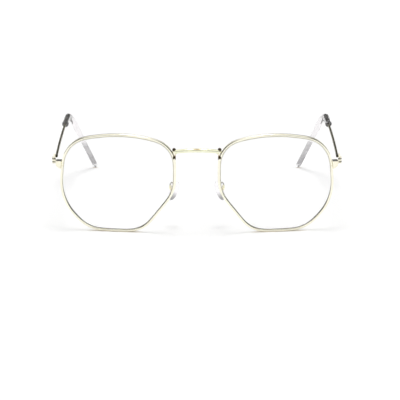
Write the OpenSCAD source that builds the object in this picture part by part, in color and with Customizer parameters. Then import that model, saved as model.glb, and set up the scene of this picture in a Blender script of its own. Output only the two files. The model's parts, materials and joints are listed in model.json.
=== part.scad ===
// Thin wire eyeglasses with rounded six-sided rims, clear lenses, wire temples and clear sleeves.
// Millimetres. The glasses stand on the rim bottoms and the temple ends, on the plane Z = 0.
// +X is the wearer's left, the front faces -Y, and the temples run towards +Y.

/* [Lens outline] */
// width of one lens
lens_width = 51; // [48:0.5:54]
// height of one lens
lens_height = 44.5; // [42:0.5:47]
// radius of the ball that both lens faces follow
lens_curve_radius = 130; // [110:5:180]
// thickness of one lens
lens_thickness = 1.6; // [1.4:0.1:1.8]

/* [Rims] */
// width of the rim wire seen from the front
rim_width = 1.25; // [1.15:0.05:1.5]
// depth of the rim wire from front to back
rim_depth = 1.7; // [1.6:0.1:2]
// how far the lens edge reaches into the groove of the rim
groove_depth = 0.3; // [0.25:0.05:0.4]
// angle by which the outer side of each rim is swept back
rim_wrap = 7.5; // [6:0.5:9]
// clear distance between the two rims at the nose
rim_spacing = 18.8; // [18:0.2:20]
// gap in the rim between the two closing blocks
rim_split = 0.3; // [0.2:0.05:0.4]

/* [Bridge] */
// diameter of the bridge wire
bridge_wire = 1.8; // [1.6:0.1:2]
// height of the bridge ends above the lens centre
bridge_rise = 15.2; // [14.6:0.2:15.8]
// upward arch of the bridge in its middle
bridge_arch = 1; // [0.6:0.1:1.4]
// forward bow of the bridge in its middle
bridge_bow = 1.1; // [0.6:0.1:1.6]
// diameter of the two short upright bars that carry the bridge wire
bar_width = 1.5; // [1.3:0.1:1.6]
// length of each upright bar below the middle of the bridge wire
bar_length = 4.2; // [3.4:0.2:5]
// diameter of the dark bead on top of each bar
bar_ball = 1.7; // [1.6:0.1:1.9]

/* [End pieces] */
// reach of each end piece from the rim to the hinge axis
endpiece_reach = 3; // [2.9:0.1:3.4]
// height of the end plate beside the rim
endpiece_height = 3.5; // [3.3:0.1:4]
// height of the end plate at its outer end
endpiece_end_height = 2.1; // [1.9:0.1:2.5]
// thickness of the end plate
endpiece_thickness = 0.8; // [0.7:0.05:0.9]

/* [Rim locks] */
// height of each closing block
lock_height = 1; // [0.9:0.1:1.2]
// depth of the closing blocks from front to back
lock_depth = 1.4; // [1.3:0.05:1.5]
// diameter of the closing screw
lock_screw = 0.7; // [0.6:0.05:0.8]

/* [Hinges] */
// height of the hinge centre above the lens centre
hinge_rise = 8.2; // [7.8:0.1:8.6]
// distance of the hinge axis behind the rim side
hinge_setback = 4; // [3.9:0.1:4.6]
// diameter of the hinge knuckles
knuckle_width = 1.6; // [1.5:0.05:1.7]
// height of the middle knuckle on the front
knuckle_height = 1.2; // [1.1:0.1:1.4]
// height of the upper and lower knuckle on the temple
fork_height = 0.6; // [0.5:0.1:0.9]
// diameter of the hinge screw
hinge_screw = 0.8; // [0.7:0.05:0.9]

/* [Temples] */
// diameter of the temple wire
temple_wire = 1.2; // [1.1:0.05:1.3]
// length of the straight part of the temple
temple_straight = 94; // [89:1:99]
// downward angle of the temple against a square line to the front
temple_drop = 6.2; // [5.7:0.1:6.7]
// outward angle of the temple at the hinge
temple_bow = 1.1; // [0.7:0.1:1.5]
// radius of the bend behind the ear
bend_radius = 15; // [13:1:18]
// angle through which the temple bends down
bend_down = 49.5; // [46.5:0.5:52.5]
// angle through which the temple bends towards the head
bend_inward = 30.5; // [27:0.5:34]
// how far the wire runs into the bend, past the straight part
wire_into_bend = 5; // [3:1:9]

/* [Temple sleeves] */
// length of the straight wire that the clear sleeve covers
sleeve_cover = 18; // [13:1:24]
// diameter of the sleeve where it starts
sleeve_width = 3.2; // [2.9:0.1:3.4]
// thickness of the flattened end of the sleeve
tip_thickness = 2.3; // [2.1:0.1:2.5]
// width of the flattened end of the sleeve
tip_width = 2.6; // [2.5:0.1:3.1]

/* [Nose pads] */
// length of a nose pad
pad_length = 10.5; // [9.5:0.5:12]
// width of a nose pad
pad_width = 6.4; // [5.8:0.2:7.2]
// thickness of a nose pad
pad_thickness = 1.6; // [1.5:0.1:1.9]
// distance between the middles of the two pads
pad_spacing = 21.2; // [20.6:0.2:22.2]
// distance of the pad middle below the lens centre
pad_drop = 6.6; // [6:0.2:7.2]
// distance of the pad middle behind the rim bottoms
pad_setback = 8.6; // [8.2:0.2:9.2]
// angle by which the rear edges of the pads spread
pad_splay = 18; // [14:1:22]
// angle by which the lower ends of the pads spread
pad_slant = 24; // [21:1:27]
// angle by which the lower ends of the pads lie back
pad_tilt = 20; // [16:1:24]
// distance of the pad screw above the pad middle
pad_mount = 1.5; // [0.9:0.2:1.9]
// diameter of the pad arm wire
arm_wire = 0.65; // [0.6:0.05:0.75]
// diameter of the pad screw
pad_screw_size = 0.7; // [0.6:0.05:0.75]

/* [Standing] */
// angle by which the front leans forward when the glasses stand on a table
standing_lean = 5.4; // [5:0.1:5.8]

/* [Hidden] */
$fn = 48;
gold = [0.94, 0.89, 0.7];
gold_shade = [0.8, 0.74, 0.55];
dark = [0.2, 0.17, 0.13];
clear = [0.9, 0.93, 0.94, 0.35];
clear_soft = [0.9, 0.9, 0.92, 0.6];

// fits
braze_gap = 0.03;
lens_gap = 0.1;
screw_gap = 0.04;
knuckle_gap = 0.2;
sleeve_gap = 0.05;
pad_gap = 0.1;
recess_gap = 0.03;
// how far each drilled hole and cut runs past the part
drill_over = 1;

// steps of the curves
outline_steps = 96;
smoothing_passes = 3;
fillet_steps = 12;

// corners of the lens outline, outer side first and counter-clockwise: shares of half the width,
// half the height and half the width
outer_top_corner = [0.95, 0.83, 0.54];
brow_corner = [-0.16, 1.07, 2.3];
nose_top_corner = [-1, 0.8, 0.43];
nose_corner = [-1, -0.13, 0.52];
nose_bottom_corner = [-0.42, -1, 0.5];
outer_bottom_corner = [0.54, -1, 0.5];
outer_corner = [1.03, -0.4, 0.81];
corner_list = [outer_top_corner, brow_corner, nose_top_corner, nose_corner,
  nose_bottom_corner, outer_bottom_corner, outer_corner];

function unit(v) = v / norm(v);
function blend(a, b, t) = a + (b - a) * t;
function column(list, k) = [for (v = list) v[k]];
function sum_to(list, k) = k < 0 ? 0 : list[k] + sum_to(list, k - 1);

// rounded corner b between the neighbours a and c
function fillet(a, b, c, r) =
  let (
    back = unit(a - b),
    ahead = unit(c - b),
    half = acos(back * ahead) / 2,
    centre = b + unit(back + ahead) * r / sin(half),
    from = b + back * r / tan(half) - centre,
    to = b + ahead * r / tan(half) - centre,
    start = atan2(from.y, from.x),
    turn = (atan2(to.y, to.x) - start + 540) % 360 - 180
  )
  [for (i = [0:fillet_steps]) centre + r * [cos(start + turn * i / fillet_steps),
    sin(start + turn * i / fillet_steps)]];

corner_points = [for (c = corner_list) [c[0] * lens_width / 2, c[1] * lens_height / 2]];
corner_count = len(corner_list);
seam_share = 0.47;
first_point = blend(corner_points[corner_count - 1], corner_points[0], seam_share);
rough_outline = concat([first_point], [for (i = [0:corner_count - 1]) each fillet(
  corner_points[(i + corner_count - 1) % corner_count],
  corner_points[i],
  corner_points[(i + 1) % corner_count],
  corner_list[i][2] * lens_width / 2)], [first_point]);
rough_lengths = [for (i = 0, s = 0; i < len(rough_outline);
  s = s + (i + 1 < len(rough_outline) ? norm(rough_outline[i + 1] - rough_outline[i]) : 0),
  i = i + 1) s];
rough_total = rough_lengths[len(rough_lengths) - 1];
rough_x = [for (i = [0:len(rough_outline) - 1]) [rough_lengths[i], rough_outline[i].x]];
rough_y = [for (i = [0:len(rough_outline) - 1]) [rough_lengths[i], rough_outline[i].y]];
even_outline = [for (i = [0:outline_steps - 1])
  let (s = rough_total * i / outline_steps) [lookup(s, rough_x), lookup(s, rough_y)]];
function smooth(list, passes) = passes == 0 ? list : smooth([for (i = [0:len(list) - 1])
  (list[(i + len(list) - 1) % len(list)] + 2 * list[i] + list[(i + 1) % len(list)]) / 4], passes - 1);
soft_outline = smooth(even_outline, smoothing_passes);
soft_low = [min(column(soft_outline, 0)), min(column(soft_outline, 1))];
soft_high = [max(column(soft_outline, 0)), max(column(soft_outline, 1))];

// edge line of the lens, and its outward directions
outline = [for (p = soft_outline) [
  ((p.x - soft_low.x) / (soft_high.x - soft_low.x) - 0.5) * lens_width,
  ((p.y - soft_low.y) / (soft_high.y - soft_low.y) - 0.5) * lens_height]];
outward = [for (i = [0:outline_steps - 1])
  let (t = unit(outline[(i + 1) % outline_steps] - outline[(i + outline_steps - 1) % outline_steps]))
  [t.y, -t.x]];
function at_step(list, s) = blend(list[floor(s) % outline_steps],
  list[(floor(s) + 1) % outline_steps], s - floor(s));
function bulge(p) = lens_curve_radius - sqrt(lens_curve_radius ^ 2 - p * p);
edge_bulge = bulge([0, lens_height / 2]);
// point at step s of the outline, moved outward by n and back by d
function edge_point(s, n, d) =
  let (p = at_step(outline, s), q = p + n * at_step(outward, s))
  [q.x, bulge(p) - edge_bulge + d, q.y];

// rim
rim_outer = rim_width - groove_depth;
rim_half_depth = rim_depth / 2;
groove_half = 0.5;
rim_round = 0.4;
rim_ease = 0.12;
rim_profile = [
  [-groove_depth, -groove_half],
  [-groove_depth, -rim_half_depth + rim_ease],
  [-groove_depth + rim_ease, -rim_half_depth],
  [rim_outer - rim_round, -rim_half_depth],
  [rim_outer - rim_ease, -rim_half_depth + rim_ease],
  [rim_outer, -rim_half_depth + rim_round],
  [rim_outer, rim_half_depth - rim_round],
  [rim_outer - rim_ease, rim_half_depth - rim_ease],
  [rim_outer - rim_round, rim_half_depth],
  [-groove_depth + rim_ease, rim_half_depth],
  [-groove_depth, rim_half_depth - rim_ease],
  [-groove_depth, groove_half],
  [lens_gap, 0]
];
rim_centre_z = lens_height / 2 + rim_outer;
rim_centre_x = rim_spacing / 2 + (lens_width / 2 + rim_outer) * cos(rim_wrap);
step_length = norm(outline[1] - outline[0]);
plate_above = 0.3;
plate_top = hinge_rise + knuckle_height / 2 + plate_above;
shelf_thickness = 0.7;
lock_gap = 0.1;
lock_step = lookup(plate_top - shelf_thickness - lock_gap - lock_height - rim_split / 2,
  [for (i = [0:12]) [outline[i].y, i]]);
split_steps = rim_split / 2 / step_length;
rim_steps = concat([lock_step + split_steps],
  [for (i = [floor(lock_step + split_steps) + 1:ceil(lock_step - split_steps) - 1 + outline_steps]) i],
  [lock_step - split_steps + outline_steps]);

// position of a point of the left rim in the frame of the front
function from_rim(p) = [
  rim_centre_x + p.x * cos(rim_wrap) - p.y * sin(rim_wrap),
  p.x * sin(rim_wrap) + p.y * cos(rim_wrap),
  rim_centre_z + p.z];
// position of a point of the front when the glasses stand, before they are centred
function leaned(p) = [p.x, p.y * cos(standing_lean) - p.z * sin(standing_lean),
  p.y * sin(standing_lean) + p.z * cos(standing_lean)];
function lowest(points) = min([for (p = points) leaned(p).z]);
rim_low = lowest([for (s = rim_steps) each [for (c = rim_profile) from_rim(edge_point(s, c.x, c.y))]]);

// hinge axis
rim_side = from_rim([lens_width / 2 + rim_outer, bulge([lens_width / 2, 0]) - edge_bulge, 0]);
hinge_point = [rim_side.x + endpiece_reach, rim_side.y + hinge_setback, rim_centre_z + hinge_rise];
knuckle_radius = knuckle_width / 2;
middle_half = knuckle_height / 2;
fork_low = middle_half + knuckle_gap;
fork_high = fork_low + fork_height;

// temple path from the hinge axis
wire_front = 1;
wire_clear = 0.1;
wire_raise = 0.3;
wire_inset = sqrt((knuckle_radius + temple_wire / 2 + braze_gap) ^ 2 - wire_front ^ 2) + wire_clear;
wire_lift = fork_low + fork_height / 2 + wire_raise;
bow_steps = 8;
bend_steps = 16;
leg_steps = 6;
close_angle = 0.8;
bend_length = bend_radius * bend_down * PI / 180;
// headings along the temple: distance, inward angle, downward angle
temple_headings = concat(
  [for (i = [0:bow_steps]) [temple_straight * i / bow_steps,
    blend(-temple_bow, close_angle, i / bow_steps), temple_drop]],
  [for (i = [1:bend_steps]) [temple_straight + bend_length * i / bend_steps,
    blend(close_angle, bend_inward, i / bend_steps), temple_drop + bend_down * i / bend_steps]]);
function heading_at(s, k) = lookup(s, [for (h = temple_headings) [h[0], h[k]]]);
function direction_at(s) =
  let (a = heading_at(s, 1), b = heading_at(s, 2))
  [-sin(a) * cos(b), cos(a) * cos(b), -sin(b)];
// position along the path, summed over short pieces
function path_points(distances) = [for (i = 0, p = [-wire_inset, wire_front, wire_lift];
  i < len(distances);
  p = i + 1 < len(distances) ? p + direction_at((distances[i] + distances[i + 1]) / 2)
    * (distances[i + 1] - distances[i]) : p,
  i = i + 1) p];
function spread(from, to, steps) = [for (i = [0:steps - 1]) blend(from, to, i / steps)];
bend_start = temple_straight;
bend_end = temple_straight + bend_length;
sleeve_start = temple_straight - sleeve_cover;
wire_end = bend_start + wire_into_bend;
tip_round = 1.8;
tip_round_steps = 6;
lip_length = 0.6;
lip_share = 0.88;
flat_share = 0.6;
sleeve_sides = 20;
tip_stub = 0.03;
sleeve_first = 6;
function sleeve_distances(leg) = concat(
  spread(0, sleeve_start, sleeve_first),
  spread(sleeve_start, sleeve_start + lip_length, 2),
  spread(sleeve_start + lip_length, bend_start, 4),
  spread(bend_start, bend_end, bend_steps),
  spread(bend_end, bend_end + leg - tip_round, leg_steps),
  [for (i = [0:tip_round_steps]) bend_end + leg - tip_round + tip_round * sin(90 * i / tip_round_steps)]);

// half sizes of the sleeve at distance s, for a leg of the given length
function sleeve_half(s, leg) =
  let (
    grow = min(1, max(0, (s - bend_start) / (bend_end + leg * flat_share - bend_start))),
    ease = grow * grow * (3 - 2 * grow),
    into = max(0, s - (bend_end + leg - tip_round)) / tip_round,
    nose = blend(tip_stub, 1, sqrt(max(0, 1 - into * into))),
    lip = s < sleeve_start + lip_length / 4 ? lip_share : 1
  )
  [blend(sleeve_width, tip_thickness, ease) / 2 * nose * lip,
    blend(sleeve_width, tip_width, ease) / 2 * nose * lip];
function ring(centre, heading, halves, count) =
  let (
    side = unit([heading.y, -heading.x, 0]),
    up = cross(side, heading)
  )
  [for (k = [0:count - 1]) centre + side * halves.x * cos(360 * k / count)
    - up * halves.y * sin(360 * k / count)];
function sleeve_rings(leg) =
  let (d = sleeve_distances(leg), p = path_points(d))
  [for (i = [sleeve_first:len(d) - 1])
    ring(p[i], direction_at(d[i]), sleeve_half(d[i], leg), sleeve_sides)];
function to_hinge(points) = [for (p = points) p + hinge_point];
function sleeve_low(leg) = lowest(to_hinge([for (r = sleeve_rings(leg)) each r]));
// the leg is as long as it takes to stand level with the rim bottoms
trial_leg = 28;
leg_slope = -(leaned(direction_at(bend_end))).z;
leg_length = trial_leg + (sleeve_low(trial_leg) - rim_low) / leg_slope;

// bridge bars
bar_inset = 0.28;
bar_setback = 0.2;
bar_above = 0.45;
ball_rise = 0.3;
bridge_stop = 0.35;
nose_side = [0.2, 0.48];
nose_from = floor(outline_steps * nose_side[0]);
nose_to = floor(outline_steps * nose_side[1]);
bar_step = lookup(-bridge_rise, [for (i = [nose_from:nose_to]) [-outline[i].y, i]]);
bar_y = from_rim(edge_point(bar_step, 0, 0)).y + bar_setback;
// the bar nests in the corner of the rim, measured from the rim's outer line at the height of the bridge
bar_x = from_rim(edge_point(bar_step, rim_outer, 0)).x - bar_width / 2 - bar_inset;
bridge_z = rim_centre_z + bridge_rise;
bridge_half = bar_x;
bridge_sag = norm([bridge_arch, bridge_bow]);
bridge_radius = (bridge_half ^ 2 + bridge_sag ^ 2) / (2 * bridge_sag);
bridge_half_angle = asin((bridge_half - bridge_stop) / bridge_radius);
bridge_lay = atan2(bridge_bow, bridge_arch);

// the standing glasses are centred front to back
sleeve_back = max([for (p = to_hinge([for (r = sleeve_rings(leg_length)) each r])) leaned(p).y]);
bridge_front = leaned([0, bar_y - bridge_bow - bridge_wire / 2, bridge_z + bridge_arch]).y;
middle_y = (sleeve_back + bridge_front) / 2;

// nose pad frame: the screw axis runs across the pad
pad_back = 0.7;
pad_reach = pad_back + pad_thickness / 2;
box_floor = 0.35;
box_wall = 0.35;
boss_half = 0.5;
boss_radius = 0.6;
box_half_length = 0.8;
box_base = 1.05;
function turn_x(p, a) = [p.x, p.y * cos(a) - p.z * sin(a), p.y * sin(a) + p.z * cos(a)];
function turn_y(p, a) = [p.x * cos(a) + p.z * sin(a), p.y, -p.x * sin(a) + p.z * cos(a)];
function turn_z(p, a) = [p.x * cos(a) - p.y * sin(a), p.x * sin(a) + p.y * cos(a), p.z];
function pad_turned(p) = turn_x(turn_y(turn_z([-p.z, -p.x, p.y], -pad_splay), -pad_slant), pad_tilt);
pad_middle = [pad_spacing / 2, pad_setback, rim_centre_z - pad_drop];
pad_axis_point = pad_middle - pad_turned([0, -pad_mount, pad_reach]);

// pad arm path: leaves the rim towards the back, loops outward and comes in behind the box
arm_steps = 22;
arm_rise = -0.6;
nose_low_side = [0.3, 0.62];
arm_straight = 1.6;
arm_loop_start = [0.9, 4.2, 0.8];
arm_loop_end = [-0.2, -0.8, 0.6];
arm_approach = 0.6;
arm_last = 0.3;
low_from = floor(outline_steps * nose_low_side[0]);
low_to = floor(outline_steps * nose_low_side[1]);
arm_step = lookup(arm_rise, [for (i = [low_to:-1:low_from]) [outline[i].y, i]]);
arm_root = from_rim(edge_point(arm_step, rim_outer - arm_wire / 2 - rim_round / 2,
  rim_half_depth + 2 * braze_gap));
arm_end = pad_axis_point + pad_turned([0, 0, -box_base - braze_gap]);
arm_controls = [
  arm_root,
  arm_root + arm_straight * [-sin(rim_wrap), cos(rim_wrap), 0],
  arm_root + arm_loop_start,
  [arm_end.x, arm_end.y, arm_root.z] + arm_loop_end,
  arm_end + pad_turned([0, arm_wire, -arm_approach]),
  arm_end + pad_turned([0, 0, -arm_last]),
  arm_end
];
function curve_at(points, t) = len(points) == 1 ? points[0]
  : curve_at([for (i = [0:len(points) - 2]) blend(points[i], points[i + 1], t)], t);

// closed skin through a list of equal rings, with a fan over each end
module skin(rings) {
  count = len(rings[0]);
  rows = len(rings);
  last = (rows - 1) * count;
  middle = [for (r = [rings[0], rings[rows - 1]])
    [for (k = [0:2]) sum_to(column(r, k), count - 1) / count]];
  polyhedron(
    points = concat([for (r = rings) each r], middle),
    faces = concat(
      [for (i = [0:rows - 2]) each [for (k = [0:count - 1])
        each [[i * count + k, (i + 1) * count + k, (i + 1) * count + (k + 1) % count],
          [i * count + k, (i + 1) * count + (k + 1) % count, i * count + (k + 1) % count]]]],
      [for (k = [0:count - 1]) [rows * count, k, (k + 1) % count]],
      [for (k = [0:count - 1]) [rows * count + 1, last + (k + 1) % count, last + k]]
    )
  );
}
module stand() {
  translate([0, -middle_y, -rim_low]) rotate([standing_lean, 0, 0]) children();
}
module left() {
  stand() children();
}
module right() {
  stand() mirror([1, 0, 0]) children();
}
module at_rim() {
  translate([rim_centre_x, 0, rim_centre_z]) rotate([0, 0, rim_wrap]) children();
}
module at_hinge() {
  translate(hinge_point) children();
}
module at_pad() {
  translate(pad_axis_point)
    rotate([pad_tilt, 0, 0]) rotate([0, -pad_slant, 0]) rotate([0, 0, -pad_splay])
      multmatrix([[0, 0, -1, 0], [-1, 0, 0, 0], [0, 1, 0, 0], [0, 0, 0, 1]]) children();
}
// everything inside the outer line of the left rim, used to fit parts against it
cut_reach = lens_width / 2;
module rim_inside(extra) {
  at_rim() translate([0, cut_reach, 0]) rotate([90, 0, 0]) linear_extrude(2 * cut_reach)
    polygon([for (i = [0:outline_steps - 1]) outline[i] + (rim_outer + extra) * outward[i]]);
}

// rim wire with an inner groove, cut open between the closing blocks
module rim() {
  color(gold) at_rim() skin([for (s = rim_steps) [for (c = rim_profile) edge_point(s, c.x, c.y)]]);
}
// clear curved lens with a bevelled edge that sits in the groove
shoulder = groove_depth + lens_gap;
lens_half = lens_thickness / 2;
bevel_half = 0.48;
edge_clear = 0.02;
lens_shares = [0.04, 0.3, 0.55, 0.78, 1];
function lens_ring(share, side) = [for (i = [0:outline_steps - 1])
  let (p = (outline[i] - shoulder * outward[i]) * share)
  [p.x, bulge(p) - edge_bulge + side * lens_half, p.y]];
module lens() {
  color(clear) at_rim() skin(concat(
    [for (f = lens_shares) lens_ring(f, 1)],
    [for (c = [[-shoulder, bevel_half], [-edge_clear, 0], [-shoulder, -bevel_half]])
      [for (i = [0:outline_steps - 1]) edge_point(i, c.x, c.y)]],
    [for (k = [len(lens_shares) - 1:-1:0]) lens_ring(lens_shares[k], -1)]
  ));
}
// upright rod around the bar, ending at the given height above the middle of the bridge wire
module bar_rod(extra, top) {
  translate([bar_x, bar_y, bridge_z - bar_length])
    cylinder(h = top + bar_length, d = bar_width + 2 * extra);
}
module bead_ball(extra) {
  translate([bar_x, bar_y, bridge_z + bar_above + bar_ball * ball_rise]) sphere(d = bar_ball + 2 * extra);
}
// short upright bar that is brazed to the rim and carries the bridge wire
module bridge_bar() {
  color(gold) difference() {
    bar_rod(0, bar_above);
    rim_inside(braze_gap);
  }
}
// dark bead on top of the bar
module bridge_bead() {
  color(dark) difference() {
    bead_ball(0);
    bar_rod(braze_gap, bar_above + braze_gap);
    rim_inside(braze_gap);
  }
}
module bar_space() {
  bar_rod(braze_gap, bridge_wire);
  bead_ball(braze_gap);
}
// bridge wire whose hollowed ends sit against the two upright bars and their beads
module bridge() {
  color(gold) stand() difference() {
    translate([0, bar_y, bridge_z]) rotate([bridge_lay, 0, 0])
      translate([0, 0, bridge_sag - bridge_radius]) rotate([90, 0, 0])
        rotate_extrude(angle = 2 * bridge_half_angle, start = 90 - bridge_half_angle, $fn = 96)
          translate([bridge_radius, 0]) circle(d = bridge_wire, $fn = 32);
    bar_space();
    mirror([1, 0, 0]) bar_space();
  }
}

// end piece: a tapering plate brazed to the rim, with a shelf on top and an arm back to the hinge
side_x = lens_width / 2 + rim_outer;
side_y = bulge([lens_width / 2, 0]) - edge_bulge;
plate_inset = 0.05;
plate_front = side_y - rim_half_depth + plate_inset;
plate_overlap = 1.6;
plate_clear = 0.35;
plate_heel = 0.3;
shelf_back = 0.8;
arm_clear = 0.15;
arm_thickness = 0.8;
arm_stop = 1.4;
arm_cover = 0.2;
arm_outer = knuckle_radius + arm_clear;
arm_inner = arm_outer + arm_thickness;
arm_back = hinge_point.y - arm_stop;
lock_front = plate_front + endpiece_thickness + braze_gap;
lock_back = lock_front + lock_depth;
module end_plate() {
  end_x = side_x + (endpiece_reach - knuckle_radius - plate_clear) / cos(rim_wrap);
  translate([0, plate_front + endpiece_thickness, 0]) rotate([90, 0, 0])
    linear_extrude(endpiece_thickness) polygon([
      [side_x - plate_overlap, plate_top],
      [side_x - plate_overlap, plate_top - endpiece_height],
      [side_x + plate_heel, plate_top - endpiece_height],
      [end_x, plate_top - endpiece_end_height],
      [end_x, plate_top]
    ]);
  translate([side_x - plate_overlap, plate_front, plate_top - shelf_thickness])
    cube([end_x - side_x + plate_overlap, lock_back + shelf_back - plate_front, shelf_thickness]);
}
module endpiece() {
  arm_front = from_rim([side_x + endpiece_reach, plate_front, 0]).y + arm_cover;
  color(gold) {
    difference() {
      at_rim() end_plate();
      rim_inside(braze_gap);
    }
    translate([hinge_point.x - arm_inner, arm_front, hinge_point.z - middle_half])
      cube([arm_thickness, arm_back - arm_front, 2 * middle_half + plate_above - shelf_thickness / 2]);
  }
}
// closing blocks on both sides of the gap in the rim
lock_reach = 1.2;
lock_z = at_step(outline, lock_step).y;
lock_x = side_x + lock_reach / 2;
lock_y = (lock_front + lock_back) / 2;
lock_head_width = 1.1;
lock_head_height = 0.35;
slot_width = 0.2;
slot_depth = 0.55;
module lock_block(from_z) {
  difference() {
    at_rim() translate([side_x - plate_overlap, lock_front, from_z])
      cube([plate_overlap + lock_reach, lock_depth, lock_height]);
    rim_inside(braze_gap);
    at_rim() translate([lock_x, lock_y, from_z - drill_over])
      cylinder(h = lock_height + 2 * drill_over, d = lock_screw + 2 * screw_gap);
  }
}
module rim_lock_upper() {
  color(gold_shade) lock_block(lock_z + rim_split / 2);
}
module rim_lock_lower() {
  color(gold_shade) lock_block(lock_z - rim_split / 2 - lock_height);
}
module slotted_head(width, height) {
  difference() {
    cylinder(h = height, d = width);
    translate([-width, -slot_width / 2, height * (1 - slot_depth)]) cube([2 * width, slot_width, height]);
  }
}
module rim_lock_screw() {
  bottom = lock_z - rim_split / 2 - lock_height;
  color(gold_shade) at_rim() translate([lock_x, lock_y, 0]) {
    translate([0, 0, bottom - screw_gap])
      cylinder(h = 2 * lock_height + rim_split + screw_gap, d = lock_screw);
    translate([0, 0, bottom - screw_gap]) mirror([0, 0, 1])
      slotted_head(lock_head_width, lock_head_height);
  }
}
module hinge_hole(half) {
  translate([0, 0, -half - drill_over])
    cylinder(h = 2 * (half + drill_over), d = hinge_screw + 2 * screw_gap);
}
// front hinge part: the middle knuckle on a web that is brazed to the arm of the end piece
web_shift = 0.3;
web_share = 0.65;
module hinge_front() {
  web_front = arm_back - hinge_point.y + braze_gap;
  color(gold) at_hinge() difference() {
    translate([0, 0, -middle_half]) linear_extrude(knuckle_height) union() {
      circle(r = knuckle_radius);
      polygon([
        [-arm_inner + web_shift, web_front],
        [-arm_outer + web_shift, web_front],
        [web_shift, -knuckle_radius * web_share],
        [-knuckle_radius * web_share, -knuckle_radius * web_share]
      ]);
    }
    hinge_hole(middle_half);
  }
}
// temple hinge part: the upper and lower knuckle on a leaf beside the temple wire
leaf_thickness = 0.8;
leaf_length = 4.6;
leaf_front = knuckle_radius + 0.3;
leaf_overlap = 0.4;
leaf_step = 1;
leaf_end_height = 1;
leaf_end_drop = 0.2;
module fork_knuckle(from_z) {
  translate([0, 0, from_z]) {
    cylinder(h = fork_height, r = knuckle_radius);
    translate([-wire_inset + temple_wire / 2 + 2 * braze_gap, 0, 0])
      cube([leaf_thickness, leaf_front + leaf_overlap, fork_height]);
  }
}
module hinge_temple() {
  color(gold) at_hinge() difference() {
    union() {
      fork_knuckle(fork_low);
      fork_knuckle(-fork_high);
      translate([-wire_inset, wire_front, 0]) rotate([0, 0, -temple_bow])
        translate([temple_wire / 2 + braze_gap, leaf_front - wire_front, 0])
          rotate([90, 0, 90]) linear_extrude(leaf_thickness) polygon([
            [0, -fork_high],
            [leaf_step, -fork_high],
            [leaf_length, wire_lift - leaf_end_drop - leaf_end_height],
            [leaf_length, wire_lift - leaf_end_drop],
            [0, fork_high]
          ]);
    }
    hinge_hole(fork_high);
  }
}
// hinge screw with a slotted head on top
hinge_head_width = 1.35;
hinge_head_height = 0.2;
module hinge_screw_part() {
  color(gold_shade) at_hinge() {
    translate([0, 0, -fork_high]) cylinder(h = 2 * fork_high + screw_gap, d = hinge_screw);
    translate([0, 0, fork_high + screw_gap]) slotted_head(hinge_head_width, hinge_head_height);
  }
}
// temple wire, bent down behind the ear inside the sleeve
wire_sides = 12;
wire_bend_steps = 5;
module temple_wire_part() {
  distances = concat(
    spread(0, temple_straight, bow_steps),
    spread(bend_start, wire_end, wire_bend_steps),
    [wire_end]);
  path = path_points(distances);
  color(gold_shade) at_hinge() skin([for (i = [0:len(path) - 1])
    ring(path[i], direction_at(distances[i]), [temple_wire, temple_wire] / 2, wire_sides)]);
}
// clear sleeve with a bore for the wire and a flattened, rounded end
bore_spare = 0.3;
bore_last_step = 0.5;
module temple_sleeve() {
  outer = sleeve_rings(leg_length);
  all_distances = sleeve_distances(leg_length);
  all_points = path_points(all_distances);
  bore_half = [temple_wire, temple_wire] / 2 / cos(180 / sleeve_sides) + [sleeve_gap, sleeve_gap];
  bore_stop = wire_end + bore_spare;
  bore_distances = concat([for (i = [sleeve_first:len(all_distances) - 1])
    if (all_distances[i] < bore_stop - bore_last_step) all_distances[i]], [bore_stop]);
  bore_points = path_points(concat(spread(0, sleeve_start, sleeve_first), bore_distances));
  bore = [for (i = [0:len(bore_distances) - 1])
    ring(bore_points[i + sleeve_first], direction_at(bore_distances[i]), bore_half, sleeve_sides)];
  color(clear) at_hinge() skin(concat([for (i = [len(bore) - 1:-1:0]) bore[i]], outer));
}
// pad arm: a thin wire from the back of the rim to the pad box
arm_sides = 12;
arm_probe = 0.005;
function arm_normal(directions) = [for (i = 0, n = unit(cross(directions[0], [0, 0, 1]));
  i < len(directions);
  i = i + 1, n = i < len(directions) ? unit(n - (n * directions[i]) * directions[i]) : n) n];
module pad_arm() {
  points = [for (i = [0:arm_steps]) curve_at(arm_controls, i / arm_steps)];
  directions = [for (i = [0:arm_steps]) unit(curve_at(arm_controls, min(1, i / arm_steps + arm_probe))
    - curve_at(arm_controls, max(0, i / arm_steps - arm_probe)))];
  normals = arm_normal(directions);
  color(gold) skin([for (i = [0:arm_steps]) [for (k = [0:arm_sides - 1])
    let (a = 360 * k / arm_sides)
    points[i] + arm_wire / 2 * (normals[i] * cos(a) + cross(directions[i], normals[i]) * sin(a))]]);
}
module pad_screw_hole() {
  reach = boss_half + pad_gap + box_wall + drill_over;
  translate([-reach, 0, 0]) rotate([0, 90, 0])
    cylinder(h = 2 * reach, d = pad_screw_size + 2 * screw_gap);
}
// small open box that holds the stem of the pad
module pad_box() {
  inner = boss_half + pad_gap;
  color(gold_shade) at_pad() difference() {
    translate([-inner - box_wall, -box_half_length, -box_base])
      cube([2 * (inner + box_wall), 2 * box_half_length, box_base + box_wall]);
    translate([-inner, -box_half_length - drill_over, -box_base + box_floor])
      cube([2 * inner, 2 * (box_half_length + drill_over), box_base + drill_over]);
    pad_screw_hole();
  }
}
// screw across the pad box
pad_head_rim = 0.25;
pad_head_height = 0.3;
module pad_screw() {
  reach = boss_half + pad_gap + box_wall;
  color(gold_shade) at_pad() rotate([0, 90, 0]) {
    translate([0, 0, -reach]) cylinder(h = 2 * reach + screw_gap, d = pad_screw_size);
    translate([0, 0, reach + screw_gap]) slotted_head(pad_screw_size + 2 * pad_head_rim, pad_head_height);
  }
}
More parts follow.
